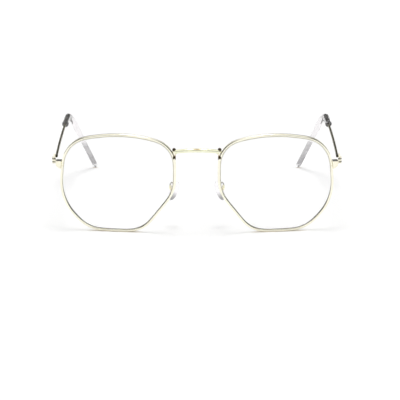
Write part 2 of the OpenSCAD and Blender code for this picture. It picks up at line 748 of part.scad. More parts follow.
// stiff core of the pad: a plate in the back of the pad and a stem in the box
insert_half_width = 1.15;
insert_half_length = 2.1;
insert_thickness = 0.5;
module pad_insert() {
  color(clear_soft) at_pad() difference() {
    union() {
      translate([-boss_half, 0, 0]) rotate([0, 90, 0]) cylinder(h = 2 * boss_half, r = boss_radius);
      translate([-boss_half, -boss_radius, 0])
        cube([2 * boss_half, 2 * boss_radius, pad_back + insert_thickness / 2]);
      translate([-insert_half_width, -insert_half_length, pad_back])
        cube([2 * insert_half_width, 2 * insert_half_length, insert_thickness]);
    }
    pad_screw_hole();
  }
}
// soft clear pad, egg-shaped, with rounded edges and a recess in its back for the core
pad_taper = 0.14;
pad_outline_steps = 36;
pad_levels = [
  [0.1, 0], [0.6, 0], [0.88, 0.02], [0.96, 0.16], [1, 0.42], [0.99, 0.62],
  [0.93, 0.82], [0.8, 0.94], [0.55, 0.99], [0.1, 1]
];
function pad_ring(share, level) = [for (k = [0:pad_outline_steps - 1])
  let (a = 360 * k / pad_outline_steps)
  [share * pad_width / 2 * cos(a) * (1 - pad_taper * sin(a)), share * pad_length / 2 * sin(a) - pad_mount,
    pad_back + level * pad_thickness]];
module nose_pad() {
  color(clear_soft) at_pad() difference() {
    skin([for (p = pad_levels) pad_ring(p[0], p[1])]);
    translate([-insert_half_width - recess_gap, -insert_half_length - recess_gap, pad_back - drill_over])
      cube([2 * (insert_half_width + recess_gap), 2 * (insert_half_length + recess_gap),
        drill_over + insert_thickness + recess_gap]);
  }
}

// left and right copies
module bridge_bar_left() { left() bridge_bar(); }
module bridge_bar_right() { right() bridge_bar(); }
module bridge_bead_left() { left() bridge_bead(); }
module bridge_bead_right() { right() bridge_bead(); }
module rim_left() { left() rim(); }
module rim_right() { right() rim(); }
module lens_left() { left() lens(); }
module lens_right() { right() lens(); }
module endpiece_left() { left() endpiece(); }
module endpiece_right() { right() endpiece(); }
module rim_lock_upper_left() { left() rim_lock_upper(); }
module rim_lock_upper_right() { right() rim_lock_upper(); }
module rim_lock_lower_left() { left() rim_lock_lower(); }
module rim_lock_lower_right() { right() rim_lock_lower(); }
module rim_lock_screw_left() { left() rim_lock_screw(); }
module rim_lock_screw_right() { right() rim_lock_screw(); }
module hinge_front_left() { left() hinge_front(); }
module hinge_front_right() { right() hinge_front(); }
module hinge_temple_left() { left() hinge_temple(); }
module hinge_temple_right() { right() hinge_temple(); }
module hinge_screw_left() { left() hinge_screw_part(); }
module hinge_screw_right() { right() hinge_screw_part(); }
module temple_wire_left() { left() temple_wire_part(); }
module temple_wire_right() { right() temple_wire_part(); }
module temple_sleeve_left() { left() temple_sleeve(); }
module temple_sleeve_right() { right() temple_sleeve(); }
module pad_arm_left() { left() pad_arm(); }
module pad_arm_right() { right() pad_arm(); }
module pad_box_left() { left() pad_box(); }
module pad_box_right() { right() pad_box(); }
module pad_screw_left() { left() pad_screw(); }
module pad_screw_right() { right() pad_screw(); }
module pad_insert_left() { left() pad_insert(); }
module pad_insert_right() { right() pad_insert(); }
module nose_pad_left() { left() nose_pad(); }
module nose_pad_right() { right() nose_pad(); }

bridge();
bridge_bar_left();
bridge_bar_right();
bridge_bead_left();
bridge_bead_right();
rim_left();
rim_right();
lens_left();
lens_right();
endpiece_left();
endpiece_right();
rim_lock_upper_left();
rim_lock_upper_right();
rim_lock_lower_left();
rim_lock_lower_right();
rim_lock_screw_left();
rim_lock_screw_right();
hinge_front_left();
hinge_front_right();
hinge_temple_left();
hinge_temple_right();
hinge_screw_left();
hinge_screw_right();
temple_wire_left();
temple_wire_right();
temple_sleeve_left();
temple_sleeve_right();
pad_arm_left();
pad_arm_right();
pad_box_left();
pad_box_right();
pad_screw_left();
pad_screw_right();
pad_insert_left();
pad_insert_right();
nose_pad_left();
nose_pad_right();
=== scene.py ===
import json
import math

import bmesh
import bpy
import numpy as np
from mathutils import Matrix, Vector, noise

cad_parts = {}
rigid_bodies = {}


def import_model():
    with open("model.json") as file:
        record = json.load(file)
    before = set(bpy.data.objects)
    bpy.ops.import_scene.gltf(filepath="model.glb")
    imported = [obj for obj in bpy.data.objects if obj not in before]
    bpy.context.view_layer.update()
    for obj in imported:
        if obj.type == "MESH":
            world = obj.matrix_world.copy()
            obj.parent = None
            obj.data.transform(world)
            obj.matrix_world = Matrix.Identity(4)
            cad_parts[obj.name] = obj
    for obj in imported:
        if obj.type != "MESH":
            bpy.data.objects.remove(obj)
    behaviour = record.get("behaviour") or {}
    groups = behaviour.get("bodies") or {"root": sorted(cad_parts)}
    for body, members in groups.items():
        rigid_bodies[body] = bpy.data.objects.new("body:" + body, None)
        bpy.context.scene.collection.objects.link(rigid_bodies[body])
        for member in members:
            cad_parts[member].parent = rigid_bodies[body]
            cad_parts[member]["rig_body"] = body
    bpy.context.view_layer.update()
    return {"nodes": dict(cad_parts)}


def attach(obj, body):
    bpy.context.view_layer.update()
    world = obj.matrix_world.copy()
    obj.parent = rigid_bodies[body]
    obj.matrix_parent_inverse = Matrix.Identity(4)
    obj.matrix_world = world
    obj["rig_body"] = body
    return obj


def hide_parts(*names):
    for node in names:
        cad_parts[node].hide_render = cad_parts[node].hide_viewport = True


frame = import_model()

# ---------------------------------------------------------------- sizes in millimetres, as in the part
MM = 0.001
SIDES = ("left", "right")
UP = Vector((0, 0, 1))

# lenses and rims
LENS_W = 51.0
LENS_H = 44.5
LENS_CURVE = 130.0
LENS_HALF = 0.8
RIM_OUT = 0.95
RIM_HALF = 0.85
GROOVE = 0.3
WRAP = math.radians(7.5)
RIM_X = 35.6237
RIM_Z = 23.2

# steps of the lens outline, and the place in them where the rim is cut open
STEPS = 96
SPLIT_AT = 1.94809
SPLIT_HALF = 0.0914836
SPLIT_FROM = SPLIT_AT + SPLIT_HALF
SPLIT_TO = SPLIT_AT - SPLIT_HALF + STEPS

# lean of the front in the standing glasses, and where that puts it
LEAN = math.radians(5.4)
MIDDLE_Y = 61.5002
RIM_LOW = -0.0571146

# middle of the bridge's bar, of the hinge and of the nose pad, on the left
BAR = Vector((10.2028, -1.73907, 38.4))
HINGE = Vector((64.7682, 8.05448, 31.4))
PAD = Vector((11.2931, 7.4973, 18.2744))

# upright bar beside the nose, with the bead on its top, from the height of BAR
POST_R = 0.75
POST_LOW = -4.2
POST_TOP = 0.45
BEAD_R = 0.845
BEAD_MIDDLE = POST_TOP + 1.7 * 0.3

# arched wire of the bridge
BRIDGE_WIRE_R = 0.898
BRIDGE_LAY = math.radians(47.7263)
BRIDGE_R = 35.7547
BRIDGE_SAG = 1.48661

# temples: the wire, the sleeve, and the distances along them from the hinge
TEMPLE_START = HINGE + Vector((-1.1222, 1.0, 1.4))
TEMPLE_WIRE_R = 0.6
SLEEVE_BORE_R = 0.63
SLEEVE_HALF = 1.6
STRAIGHT = 94.0
BEND_R = 15.0
BEND_DOWN = 49.5
BEND_LENGTH = BEND_R * math.radians(BEND_DOWN)
BEND_END = STRAIGHT + BEND_LENGTH
LEG = 34.185
SLEEVE_START = STRAIGHT - 18.0
WIRE_END = STRAIGHT + 5.0
TIP_ROUND = 1.8

# direction of the temple, in degrees: inward and down at the hinge, and what the wire and the bend add
INWARD = -1.1
INWARD_WIRE = 1.9
INWARD_BEND = 30.5 - 0.8
DOWN = 6.2

# turns of the nose pad, and the middle line of the wire that carries it
SPLAY = math.radians(-18)
SLANT = math.radians(-24)
TILT = math.radians(20)
PAD_WIRE_R = 0.325
PAD_WIRE = (
    (10.087, -1.9005, 22.5218),
    (9.87818, -0.314187, 22.5218),
    (10.987, 2.2995, 23.3218),
    (12.0315, 6.2408, 23.1218),
    (12.4884, 6.58409, 19.2655),
    (12.4921, 6.91399, 18.6302),
    (12.2315, 7.0408, 18.5528),
)


def stood(p):
    """a point of the front, in millimetres, where it is in the standing glasses, in metres"""
    c, s = math.cos(LEAN), math.sin(LEAN)
    return Vector((p[0], p[1] * c - p[2] * s - MIDDLE_Y, p[1] * s + p[2] * c - RIM_LOW)) * MM


# ---------------------------------------------------------------- nodes of the materials, places in metres
BUMP_DEPTH = 0.00002
# share of the height range of painted height shading by which its stops are cloudy, and the width of its fade
# to the outside
CLOUDINESS = 0.12
HEIGHT_PAINT_FADE = 0.0012
# sockets of a Mix node that is set to colours
MIX_FIRST, MIX_SECOND, MIX_RESULT = 6, 7, 2


def new_material(name):
    """a material, its node tree and its shader"""
    m = bpy.data.materials.new(name)
    m.use_nodes = True
    return m, m.node_tree, m.node_tree.nodes["Principled BSDF"]


def parts(tree, kind):
    """X, Y and Z of a texture coordinate"""
    coord = tree.nodes.new("ShaderNodeTexCoord")
    split = tree.nodes.new("ShaderNodeSeparateXYZ")
    tree.links.new(coord.outputs[kind], split.inputs["Vector"])
    return split.outputs


def math_step(tree, kind, *values):
    """a math node that is fed with sockets and numbers"""
    node = tree.nodes.new("ShaderNodeMath")
    node.operation = kind
    for i, value in enumerate(values):
        if isinstance(value, float):
            node.inputs[i].default_value = value
        else:
            tree.links.new(value, node.inputs[i])
    return node.outputs[0]


def product(tree, first, *others):
    """sockets and numbers multiplied"""
    for other in others:
        first = math_step(tree, "MULTIPLY", first, other)
    return first


def noise_node(tree, scale, detail=3.0, rough=0.5, stretch=(1, 1, 1)):
    """noise in the object's own coordinates"""
    coord = tree.nodes.new("ShaderNodeTexCoord")
    mapping = tree.nodes.new("ShaderNodeMapping")
    mapping.inputs["Scale"].default_value = stretch
    tex = tree.nodes.new("ShaderNodeTexNoise")
    tex.inputs["Scale"].default_value = scale
    tex.inputs["Detail"].default_value = detail
    tex.inputs["Roughness"].default_value = rough
    tree.links.new(coord.outputs["Object"], mapping.inputs["Vector"])
    tree.links.new(mapping.outputs["Vector"], tex.inputs["Vector"])
    return tex.outputs["Fac"]


def ramp_node(tree, source, stops):
    """colour of the source's level, from stops of a level and a colour"""
    ramp = tree.nodes.new("ShaderNodeValToRGB")
    elements = ramp.color_ramp.elements
    for i in (0, -1):
        at, colour = stops[i]
        elements[i].position = at
        elements[i].color = (*colour, 1)
    for at, colour in stops[1:-1]:
        elements.new(at).color = (*colour, 1)
    tree.links.new(source, ramp.inputs["Fac"])
    return ramp.outputs["Color"]


def range_node(tree, source, low, high, start=0.3, end=0.7):
    """low where the source is at start, high where it is at end, and even between them"""
    node = tree.nodes.new("ShaderNodeMapRange")
    node.inputs["From Min"].default_value = start
    node.inputs["From Max"].default_value = end
    node.inputs["To Min"].default_value = low
    node.inputs["To Max"].default_value = high
    tree.links.new(source, node.inputs["Value"])
    return node.outputs["Result"]


def bump_node(tree, source, strength):
    """very shallow relief of the source, on the material's shader"""
    node = tree.nodes.new("ShaderNodeBump")
    node.inputs["Strength"].default_value = strength
    node.inputs["Distance"].default_value = BUMP_DEPTH
    tree.links.new(source, node.inputs["Height"])
    tree.links.new(node.outputs["Normal"], tree.nodes["Principled BSDF"].inputs["Normal"])


def metal(name, colour, rough, vary=0.05, grain=(1, 1, 1), grain_scale=2600, bump=0.12):
    """plated metal: cloudy colour, fine drawing marks in the roughness and a slight orange-peel bump"""
    m, tree, shader = new_material(name)
    shader.inputs["Metallic"].default_value = 1.0
    cloud = noise_node(tree, 420, 4)
    deep = (colour[0] * (1 - vary), colour[1] * (1 - vary * 1.25), colour[2] * (1 - vary * 2))
    tree.links.new(ramp_node(tree, cloud, [(0.32, deep), (0.62, colour)]), shader.inputs["Base Color"])
    marks = noise_node(tree, grain_scale, 5, 0.6, grain)
    tree.links.new(range_node(tree, marks, rough * 0.7, rough * 1.5), shader.inputs["Roughness"])
    bump_node(tree, marks, bump)
    return m


def clear(name, colour, rough, ior, scale, transmission=1.0, bump=0.1):
    """clear glass or plastic with faint smears in the gloss"""
    m, tree, shader = new_material(name)
    shader.inputs["Base Color"].default_value = (*colour, 1)
    shader.inputs["IOR"].default_value = ior
    shader.inputs["Transmission Weight"].default_value = transmission
    smear = noise_node(tree, scale, 3)
    tree.links.new(range_node(tree, smear, rough * 0.4, rough * 1.6), shader.inputs["Roughness"])
    bump_node(tree, smear, bump)
    return m


def paint_by_height(m, low, high, stops, outside=None):
    """colour by height, used for painted shade and painted highlights: the stops run cloudily from height low
    to height high

    With outside, all that is further than that from the middle gets the last stop.
    """
    tree = m.node_tree
    place = parts(tree, "Object")
    cloud = noise_node(tree, 260, 3)
    height = math_step(tree, "MULTIPLY_ADD", cloud, (high - low) * CLOUDINESS, place["Z"])
    level = range_node(tree, height, 0.0, 1.0, low, high)
    if outside:
        aside = math_step(tree, "ABSOLUTE", place["X"])
        beyond = range_node(tree, aside, 0.0, 1.0, outside, outside + HEIGHT_PAINT_FADE)
        level = math_step(tree, "ADD", level, beyond)
    tree.links.new(ramp_node(tree, level, stops), tree.nodes["Principled BSDF"].inputs["Base Color"])


def paint_dark(m, colour, where):
    """paints a metal with a darker colour where the function gives 1: painted shade and painted dark
    reflections
    """
    tree = m.node_tree
    base = tree.nodes["Principled BSDF"].inputs["Base Color"]
    plain = base.links[0].from_socket
    mix = tree.nodes.new("ShaderNodeMix")
    mix.data_type = "RGBA"
    tree.links.new(where(tree), mix.inputs["Factor"])
    tree.links.new(plain, mix.inputs[MIX_FIRST])
    mix.inputs[MIX_SECOND].default_value = (*colour, 1)
    tree.links.new(mix.outputs[MIX_RESULT], base)


# ---------------------------------------------------------------- places with painted shade and painted dark reflections
def rim_corner(tree):
    """painted dark reflection along the outer edge of the rim's upper corner beside the nose"""
    place, normal = parts(tree, "Object"), parts(tree, "Normal")
    aside = math_step(tree, "ABSOLUTE", place["X"])
    noseward = product(tree, math_step(tree, "SIGN", place["X"]), -0.7, normal["X"])
    facing = math_step(tree, "ADD", noseward, product(tree, normal["Z"], 0.7))
    slope = range_node(tree, facing, 0.0, 1.0, 0.24, 0.4)
    crest = range_node(tree, facing, 1.0, 0.15, 0.66, 0.84)
    start = range_node(tree, aside, 1.0, 0.0, 0.0155, 0.021)
    end = range_node(tree, place["Z"], 0.0, 1.0, 0.034, 0.0375)
    return product(tree, start, end, product(tree, slope, crest))


def bridge_middle(tree):
    """painted dark reflection: a short line on the upper front of the bridge's middle"""
    aside = math_step(tree, "ABSOLUTE", parts(tree, "Object")["X"])
    rise = parts(tree, "Normal")["Z"]
    middle = range_node(tree, aside, 1.0, 0.0, 0.0008, 0.0032)
    above = range_node(tree, rise, 0.0, 1.0, 0.2, 0.3)
    below = range_node(tree, rise, 1.0, 0.0, 0.88, 0.95)
    return product(tree, above, below, middle)


def rod_front(tree):
    """painted shade at the front end of the temple wire, beside the hinge"""
    return range_node(tree, parts(tree, "Object")["Y"], 1.0, 0.0, -0.0535, -0.0505)


def end_shelf(tree):
    """painted dark reflection in patches on the top of the end piece's shelf"""
    top = range_node(tree, parts(tree, "Normal")["Z"], 0.0, 1.0, 0.8, 0.95)
    patch = range_node(tree, noise_node(tree, 900, 3), 0.9, 1.0, 0.35, 0.6)
    return product(tree, top, patch)


def knuckle_gaps(tree):
    """painted shade in bands along the gaps between the hinge's knuckles"""
    height = math_step(tree, "SUBTRACT", parts(tree, "Object")["Z"], stood(HINGE).z)
    gap_at, gap_half = 0.0007, 0.00022
    return math_step(tree, "COMPARE", math_step(tree, "ABSOLUTE", height), gap_at, gap_half)


# ---------------------------------------------------------------- metals
GOLD = (0.965, 0.94, 0.80)
FITTING_GOLD = (0.965, 0.935, 0.78)
rim_gold = metal("pale_gold_rim", GOLD, 0.13, 0.03)
bridge_gold = metal("pale_gold_bridge", (0.9, 0.905, 0.69), 0.14, 0.03)
gold_fitting = metal("pale_gold_fitting", FITTING_GOLD, 0.17, 0.05, grain_scale=3400, bump=0.18)
end_metal = metal("pale_gold_end", FITTING_GOLD, 0.17, 0.05, grain_scale=3400, bump=0.18)
hinge_metal = metal("pale_gold_hinge", (0.97, 0.94, 0.8), 0.5, 0.05, grain_scale=3400, bump=0.15)
satin_fitting = metal("pale_gold_satin", (0.98, 0.955, 0.84), 0.5, 0.05, grain_scale=3400, bump=0.15)
# the temple wire's pale gold is painted dark, a painted reflection of the dark room
rod_metal_painted_dark = metal("temple_gold_painted_dark", (0.3, 0.28, 0.19), 0.2, 0.12, (1, 0.08, 1), 3800, 0.2)
screw_metal = metal("screw_gold", (0.72, 0.64, 0.42), 0.24, 0.1, grain_scale=5200, bump=0.25)
bead_metal = metal("dark_bronze", (0.075, 0.06, 0.045), 0.28, 0.3, grain_scale=3000, bump=0.2)
washer_metal = metal("dark_washer", (0.015, 0.013, 0.008), 0.6, 0.2)
# the solder at the bar's foot is painted near black, as painted shade in the crevice below the bridge wire
solder_painted_shade = metal("solder_painted_shade", (0.05, 0.038, 0.014), 0.35, 0.3, grain_scale=2200, bump=0.3)
arm_gold = metal("pad_arm_gold", (0.45, 0.43, 0.37), 0.22, 0.15)

# painted dark reflections and painted shade, laid on the metals at the places above
paint_dark(rim_gold, (0.11, 0.105, 0.075), rim_corner)
paint_dark(bridge_gold, (0.22, 0.18, 0.11), bridge_middle)
paint_dark(rod_metal_painted_dark, (0.04, 0.036, 0.02), rod_front)
paint_dark(end_metal, (0.014, 0.011, 0.005), end_shelf)
paint_dark(hinge_metal, (0.05, 0.042, 0.02), knuckle_gaps)
# painted dark reflection on the pad arm's upper hook, pale gold lower down
paint_by_height(
    arm_gold,
    0.018,
    0.024,
    [
        (0.0, (0.9, 0.88, 0.66)),
        (0.45, (0.9, 0.88, 0.66)),
        (0.62, (0.27, 0.26, 0.22)),
        (1.0, (0.3, 0.29, 0.25)),
    ],
)


def post_material():
    """pale gold bar with painted shade below the bridge wire and at its neck under the bead"""
    m, tree, shader = new_material("pale_gold_post")
    shader.inputs["Metallic"].default_value = 1.0
    cloud = noise_node(tree, 1600, 4)
    height = math_step(tree, "MULTIPLY_ADD", cloud, 0.0006, parts(tree, "Object")["Z"])
    wire = stood(BAR).z
    level = range_node(tree, height, 0.0, 1.0, wire - 0.0042, wire + 0.0012)
    dark, warm = (0.05, 0.035, 0.012), (0.62, 0.5, 0.36)
    stops = [
        (0.0, GOLD),
        (0.1, warm),
        (0.2, dark),
        (0.42, dark),
        (0.52, warm),
        (0.64, GOLD),
        (0.87, GOLD),
        (0.92, dark),
        (1.0, dark),
    ]
    tree.links.new(ramp_node(tree, level, stops), shader.inputs["Base Color"])
    tree.links.new(range_node(tree, cloud, 0.12, 0.3), shader.inputs["Roughness"])
    bump_node(tree, cloud, 0.2)
    return m


post_metal = post_material()

# ---------------------------------------------------------------- glass and clear plastics
lens_glass = clear("lens_glass", (1.0, 1.0, 1.0), 0.006, 1.5, 160, bump=0.02)
ground_edge = clear("lens_ground_edge", (0.4, 0.39, 0.34), 0.5, 1.5, 2400, 0.1, 0.3)
# painted shade on the lens's ground edge: dark low down, turning white higher up
paint_by_height(
    ground_edge,
    0.01,
    0.036,
    [
        (0.0, (0.1, 0.095, 0.075)),
        (0.3, (0.2, 0.195, 0.16)),
        (0.6, (0.9, 0.89, 0.83)),
        (0.8, (1.0, 0.99, 0.95)),
        (1.0, (1.0, 0.99, 0.95)),
    ],
)
sleeve_plastic = clear("sleeve_plastic", (0.96, 0.94, 0.95), 0.1, 1.47, 700, 0.92)
# painted shade and a painted highlight on the clear sleeve, by height: white at the tip's end, grey bands
# higher up
paint_by_height(
    sleeve_plastic,
    0.0,
    0.045,
    [
        (0.0, (0.95, 0.94, 0.95)),
        (0.09, (0.95, 0.94, 0.95)),
        (0.12, (0.36, 0.35, 0.36)),
        (0.2, (0.42, 0.41, 0.42)),
        (0.27, (0.55, 0.54, 0.55)),
        (0.36, (0.52, 0.51, 0.52)),
        (0.41, (0.75, 0.74, 0.75)),
        (0.46, (0.93, 0.91, 0.92)),
        (0.55, (0.96, 0.94, 0.95)),
        (0.72, (0.96, 0.94, 0.95)),
        (0.79, (0.6, 0.59, 0.6)),
        (1.0, (0.58, 0.57, 0.58)),
    ],
)
pad_silicone = clear("pad_silicone", (0.97, 0.965, 0.975), 0.12, 1.04, 900)
# painted shade on the nose pad: grey along its lower edge, pale above it and out at the side
paint_by_height(
    pad_silicone,
    0.013,
    0.0245,
    [
        (0.0, (0.36, 0.355, 0.355)),
        (0.2, (0.42, 0.415, 0.415)),
        (0.3, (0.66, 0.65, 0.66)),
        (0.42, (0.98, 0.965, 0.98)),
        (1.0, (0.985, 0.97, 0.985)),
    ],
    outside=0.0118,
)
core_plastic = clear("core_plastic", (0.96, 0.955, 0.965), 0.06, 1.05, 1200)


# ---------------------------------------------------------------- meshes
def piece(name, verts, faces, body, material, nodes=(), sharp=40, weld=0.0):
    """a mesh object in the shared frame, riding on its body"""
    mesh = bpy.data.meshes.new(name)
    mesh.from_pydata([tuple(v) for v in verts], [], [tuple(f) for f in faces])
    bm = bmesh.new()
    bm.from_mesh(mesh)
    if weld:
        bmesh.ops.remove_doubles(bm, verts=bm.verts, dist=weld)
    bmesh.ops.recalc_face_normals(bm, faces=bm.faces)
    bm.to_mesh(mesh)
    bm.free()
    mesh.shade_smooth()
    mesh.set_sharp_from_angle(angle=math.radians(sharp))
    mesh.materials.append(material)
    o = bpy.data.objects.new(name, mesh)
    bpy.context.scene.collection.objects.link(o)
    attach(o, body)
    if nodes:
        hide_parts(*nodes)
    return o


def skin(rings):
    """vertices and faces of a skin through equal rings, with a fan over each end"""
    count = len(rings[0])
    verts = [v for r in rings for v in r]
    faces = []
    for i in range(len(rings) - 1):
        a, b = i * count, (i + 1) * count
        for k in range(count):
            n = (k + 1) % count
            faces.append((a + k, b + k, b + n, a + n))
    for r, start in ((rings[0], 0), (rings[-1], (len(rings) - 1) * count)):
        middle = len(verts)
        verts.append(sum((Vector(v) for v in r), Vector()) / count)
        for k in range(count):
            faces.append((middle, start + k, start + (k + 1) % count))
    return verts, faces


def circle(centre, across, upward, radius, sides):
    """a ring of points around the centre, in the plane of two directions"""
    turns = [2 * math.pi * k / sides for k in range(sides)]
    return [centre + radius * (across * math.cos(a) + upward * math.sin(a)) for a in turns]


def rounded_ends(rings, centres, reach, steps=4):
    """rings with a half-round closing at both ends of a rod, kept inside the rod's length"""
    caps = []
    for first, second in ((0, 1), (-1, -2)):
        c = centres[first]
        along = (centres[second] - c).normalized()
        cap = []
        for k in range(steps):
            a = math.pi / 2 * k / steps
            centre = c + along * reach * (1 - math.sin(a))
            cap.append([centre + (Vector(v) - c) * max(0.02, math.cos(a)) for v in rings[first]])
        caps.append(cap)
    return list(reversed(caps[0])) + rings[1:-1] + caps[1]


def cross_directions(points):
    """two directions across a path at each of its points, without twist"""
    count = len(points)
    dirs = []
    for i in range(count):
        a, b = points[max(0, i - 1)], points[min(count - 1, i + 1)]
        dirs.append((b - a).normalized())
    n = dirs[0].cross(UP)
    if n.length < 1e-4:
        n = dirs[0].cross(Vector((1, 0, 0)))
    n.normalize()
    out = []
    for d in dirs:
        n = (n - d * n.dot(d)).normalized()
        out.append((n, d.cross(n)))
    return out


def rod(points, radii, sides, cap=None):
    """a round rod through points, with a radius at each, and with ends rounded over the length cap"""
    rings = [circle(p, n, b, r, sides) for p, (n, b), r in zip(points, cross_directions(points), radii)]
    if cap:
        rings = rounded_ends(rings, points, cap)
    return skin(rings)


def turned(profile, base, sides=40):
    """an upright turned part: profile gives radius and height above its base point"""
    across, upward = Vector((0, 1, 0)), Vector((-1, 0, 0))
    return skin([circle(base + UP * h, across, upward, max(r, 0.002), sides) for r, h in profile])


def in_front(made, side):
    """vertices in the front's millimetres, stood up and mirrored if needed, with their faces"""
    verts, faces = made
    verts = [stood(v) for v in verts]
    if side == "right":
        verts = [Vector((-v.x, v.y, v.z)) for v in verts]
    return verts, faces


# ---------------------------------------------------------------- lens outline
# corners as shares of half the width, of half the height, and of half the width for their rounding
CORNERS = (
    (0.95, 0.83, 0.54),
    (-0.16, 1.07, 2.3),
    (-1.0, 0.8, 0.43),
    (-1.0, -0.13, 0.52),
    (-0.42, -1.0, 0.5),
    (0.54, -1.0, 0.5),
    (1.03, -0.4, 0.81),
)
# share of the last side at which the outline starts
OUTLINE_START = 0.47


def unit(v):
    """the vector at length 1"""
    return v / np.linalg.norm(v)


def lens_outline():
    """even points round the lens, from straight sides with rounded corners that are then softened"""
    pts = np.array([(c[0] * LENS_W / 2, c[1] * LENS_H / 2) for c in CORNERS])
    count = len(pts)
    rough = [pts[-1] + (pts[0] - pts[-1]) * OUTLINE_START]
    for i, corner in enumerate(CORNERS):
        a, b, c = pts[i - 1], pts[i], pts[(i + 1) % count]
        back, ahead = unit(a - b), unit(c - b)
        half = math.acos(float(back @ ahead)) / 2
        r = corner[2] * LENS_W / 2
        centre = b + unit(back + ahead) * r / math.sin(half)
        leave = b + back * r / math.tan(half) - centre
        arrive = b + ahead * r / math.tan(half) - centre
        start = math.atan2(leave[1], leave[0])
        turn = (math.atan2(arrive[1], arrive[0]) - start + 3 * math.pi) % (2 * math.pi) - math.pi
        for k in range(13):
            angle = start + turn * k / 12
            rough.append(centre + r * np.array([math.cos(angle), math.sin(angle)]))
    rough.append(rough[0])
    rough = np.array(rough)
    lengths = np.concatenate([[0], np.cumsum(np.linalg.norm(np.diff(rough, axis=0), axis=1))])
    at = lengths[-1] * np.arange(STEPS) / STEPS
    even = np.stack([np.interp(at, lengths, rough[:, 0]), np.interp(at, lengths, rough[:, 1])], 1)
    for _ in range(3):
        even = (np.roll(even, 1, 0) + 2 * even + np.roll(even, -1, 0)) / 4
    low, high = even.min(0), even.max(0)
    return ((even - low) / (high - low) - 0.5) * np.array([LENS_W, LENS_H])


OUTLINE = lens_outline()


def outline_at(s):
    """point of the lens outline at step s, and its outward direction"""
    i, t = int(math.floor(s)), s - math.floor(s)
    p = [OUTLINE[(i + k) % STEPS] for k in (-1, 0, 1, 2)]
    first = p[2] - p[0]
    second = 2 * p[0] - 5 * p[1] + 4 * p[2] - p[3]
    third = 3 * p[1] - p[0] - 3 * p[2] + p[3]
    point = 0.5 * (2 * p[1] + first * t + second * t**2 + third * t**3)
    slope = unit(0.5 * (first + 2 * second * t + 3 * third * t**2))
    return point, np.array([slope[1], -slope[0]])


def bulge(x, z):
    """how far the lens lies behind its foremost point"""
    return LENS_CURVE - math.sqrt(LENS_CURVE**2 - x * x - z * z)


EDGE_BULGE = bulge(0, LENS_H / 2)


def edge_point(s, n, d):
    """point at step s of the outline, moved outward by n and back by d"""
    p, out = outline_at(s)
    q = p + n * out
    return Vector((q[0], bulge(p[0], p[1]) - EDGE_BULGE + d, q[1]))


def from_rim(p):
    """a point of the left rim's own place, in the front's millimetres"""
    c, s = math.cos(WRAP), math.sin(WRAP)
    return Vector((RIM_X + p[0] * c - p[1] * s, p[0] * s + p[1] * c, RIM_Z + p[2]))


# ---------------------------------------------------------------- rims and lenses
def rim_section():
    """closed section of the rim wire: outward and back, with a crowned front, a groove and rounded corners"""
    # radius of the crown, width and depth of the outer corner in front, and radius of the one at the back
    crown, soft, deep, back_round = 0.76, 0.07, 0.2, 0.4
    middle = (RIM_OUT - GROOVE) / 2
    # a hair inside the solid's outline, which the smooth path would else pass
    inset = 0.9925

    def front(n):
        return -RIM_HALF + crown - math.sqrt(crown**2 - (n - middle) ** 2)

    pts = [(-GROOVE, -0.5), (-GROOVE, front(-GROOVE) + 0.06), (-GROOVE + 0.015, front(-GROOVE) + 0.01)]
    stop = RIM_OUT - soft
    pts += [(n, front(n)) for n in np.linspace(-GROOVE + 0.05, stop, 20)]
    # the outer corner carries the slope of the crown on into the outer wall
    slope = math.asin((stop - middle) / crown)
    for k in range(1, 7):
        a = slope + (math.pi / 2 - slope) * k / 6
        out = soft * (math.sin(a) - math.sin(slope)) / (1 - math.sin(slope))
        pts.append((stop + out, front(stop) + deep * (math.cos(slope) - math.cos(a))))
    for k in range(7):
        a = math.pi / 2 * k / 6
        out = RIM_OUT - back_round + back_round * math.cos(a)
        pts.append((out, RIM_HALF - back_round + back_round * math.sin(a)))
    pts += [(0.3, RIM_HALF), (0.1, RIM_HALF), (-GROOVE + 0.1, RIM_HALF)]
    pts += [(-GROOVE + 0.03, RIM_HALF - 0.03), (-GROOVE, RIM_HALF - 0.09), (-GROOVE, 0.5), (0.1, 0.0)]
    return [(n * inset if n > 0 else n, d) for n, d in pts]


def make_rim(side):
    """rim wire along the lens outline, open between the blocks of the rim lock"""
    section = rim_section()
    count = 300
    rings = []
    for i in range(count + 1):
        s = SPLIT_FROM + (SPLIT_TO - SPLIT_FROM) * i / count
        rings.append([from_rim(edge_point(s, n, d)) for n, d in section])
    verts, faces = in_front(skin(rings), side)
    piece(f"rim_round_{side}", verts, faces, "front", rim_gold, [f"rim_{side}"], sharp=38)


def make_lens(side):
    """curved lens with a ground edge that stands in the rim's groove"""
    count = 240
    shoulder = GROOVE + 0.1
    at = [i * STEPS / count for i in range(count)]

    def face_ring(share, offset):
        ring = []
        for s in at:
            p, out = outline_at(s)
            q = (p - shoulder * out) * share
            ring.append(from_rim((q[0], bulge(q[0], q[1]) - EDGE_BULGE + offset, q[1])))
        return ring

    shares = [0.02, 0.12, 0.24, 0.36, 0.48, 0.6, 0.72, 0.82, 0.9, 0.96, 1.0]
    wall, face = -shoulder + 0.05, LENS_HALF - 0.05
    edge = ((wall, face), (wall, 0.5), (-0.02, 0.03), (-0.02, -0.03), (wall, -0.5), (wall, -face))
    rings = [face_ring(f, LENS_HALF) for f in shares]
    rings += [[from_rim(edge_point(s, n, d)) for s in at] for n, d in edge]
    rings += [face_ring(f, -LENS_HALF) for f in reversed(shares)]
    verts, faces = in_front(skin(rings), side)
    name, node = f"lens_glass_{side}", f"lens_{side}"
    o = piece(name, verts, faces, "front", lens_glass, [node], sharp=30)
    o.data.materials.append(ground_edge)
    first, last = len(shares) * count, (len(rings) - len(shares)) * count
    for f in o.data.polygons:
        if all(first <= v < last for v in f.vertices):
            f.material_index = 1
    o.visible_shadow = False


